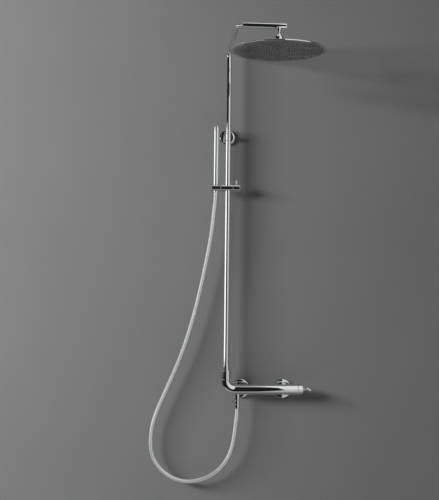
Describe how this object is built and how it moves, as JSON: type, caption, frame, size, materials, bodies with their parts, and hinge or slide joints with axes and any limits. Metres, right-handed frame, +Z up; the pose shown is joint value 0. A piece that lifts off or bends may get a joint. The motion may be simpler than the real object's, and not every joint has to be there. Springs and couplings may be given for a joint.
{
  "type": "rainfall shower column",
  "caption": "Wall-mounted rain shower column: bar mixer with lever, telescopic riser, swivel arm with wide round head, sliding stick hand shower on a hose.",
  "frame": {"origin": "on the wall plane, midway between the centres of the two wall inlets", "axes": "+X to the right of someone facing the column, +Y into the wall, +Z up"},
  "size_m": [0.5649, 0.577, 1.5196],
  "materials": {
    "chrome": "polished chrome plate on brass",
    "brass": "machined brass, unplated, hidden",
    "stainless_steel": "turned stainless steel",
    "white_acetal": "moulded white acetal",
    "black_rubber": "black sealing rubber",
    "grey_silicone": "grey silicone spray mat",
    "satin_hose": "satin silver smooth hose"
  },
  "bodies": {
    "column": {"s_union_left": "brass", "s_union_right": "brass", "escutcheon_left": "chrome", "escutcheon_right": "chrome", "union_nut_left": "chrome", "union_nut_right": "chrome", "inlet_washer_left": "black_rubber", "inlet_washer_right": "black_rubber", "check_valve_left": "white_acetal", "check_valve_right": "white_acetal", "mixer_body": "chrome", "riser_socket": "chrome", "riser_nut": "chrome", "riser_seal": "black_rubber", "cartridge": "white_acetal", "cartridge_nut": "brass", "handle_guide_ring": "white_acetal", "diverter_body": "chrome", "hose_nut_lower": "chrome", "hose_washer": "black_rubber", "lower_tube": "chrome", "tube_head": "chrome", "lock_collar": "chrome", "bracket_plate": "stainless_steel", "bracket_screw": "stainless_steel", "bracket_cover": "chrome", "bracket_rod": "chrome", "hose": "satin_hose"},
    "height_bush": {"slide_bush": "white_acetal"},
    "arm": {"arm_tube": "chrome", "swivel_ball": "chrome"},
    "ball_tilt": {"ball_seat": "white_acetal"},
    "head": {"socket_nut": "chrome", "head_shell": "chrome", "nozzle_mat": "grey_silicone", "face_plate": "chrome", "flow_filter": "white_acetal"},
    "slider": {"slider_body": "chrome", "brake_pad": "white_acetal", "friction_washer": "white_acetal"},
    "slider_lock": {"lock_knob": "chrome", "lock_pin": "chrome", "lock_screw": "stainless_steel"},
    "clip": {"clip": "chrome", "pivot_pin": "stainless_steel"},
    "hand_shower": {"handset_tube": "chrome", "handset_cap": "chrome", "spray_strip": "grey_silicone", "hose_nut_upper": "chrome"},
    "temperature": {"temperature_cap": "chrome"},
    "lever": {"cartridge_stem": "stainless_steel", "lever_hub": "brass", "lever": "chrome"},
    "diverter_knob": {"diverter_knob": "chrome"}
  },
  "joints": [
    {"name": "riser_extend", "type": "slide", "parent": "column", "child": "height_bush", "axis": [0, 0, 1], "range_m": [-0.1, 0.1]},
    {"name": "arm_swivel", "type": "hinge", "parent": "height_bush", "child": "arm", "pos_m": [-0.13, -0.066, 0.918], "axis": [0, 0, 1], "range_deg": [-90, 45]},
    {"name": "head_tilt", "type": "hinge", "parent": "arm", "child": "ball_tilt", "pos_m": [0, -0.399, 1.147], "axis": [1, 0, 0], "range_deg": [-15, 15]},
    {"name": "head_roll", "type": "hinge", "parent": "ball_tilt", "child": "head", "pos_m": [0, -0.399, 1.147], "axis": [0, 1, 0], "range_deg": [-15, 15]},
    {"name": "slider_height", "type": "slide", "parent": "column", "child": "slider", "axis": [0, 0, 1], "range_m": [-0.45, 0.1], "deforming": ["hose"]},
    {"name": "slider_lock_turn", "type": "hinge", "parent": "slider", "child": "slider_lock", "pos_m": [-0.13, -0.066, 0.705], "axis": [1, 0, 0], "range_deg": [0, 90]},
    {"name": "clip_tilt", "type": "hinge", "parent": "slider", "child": "clip", "pos_m": [-0.13, -0.066, 0.705], "axis": [1, 0, 0], "range_deg": [-10, 25], "deforming": ["hose"]},
    {"name": "hand_shower_lift", "type": "slide", "parent": "clip", "child": "hand_shower", "axis": [0, 0, 1], "range_m": [0, 0.03], "deforming": ["hose"]},
    {"name": "temperature_turn", "type": "hinge", "parent": "column", "child": "temperature", "pos_m": [0.1213, -0.066, 0.006], "axis": [1, 0, 0], "range_deg": [-45, 45]},
    {"name": "flow_tip", "type": "hinge", "parent": "temperature", "child": "lever", "pos_m": [0.114, -0.066, 0.006], "axis": [0, 0, 1], "range_deg": [0, 20]},
    {"name": "diverter_pull", "type": "slide", "parent": "column", "child": "diverter_knob", "axis": [-1, 0, 0], "range_m": [0, 0.005]}
  ]
}
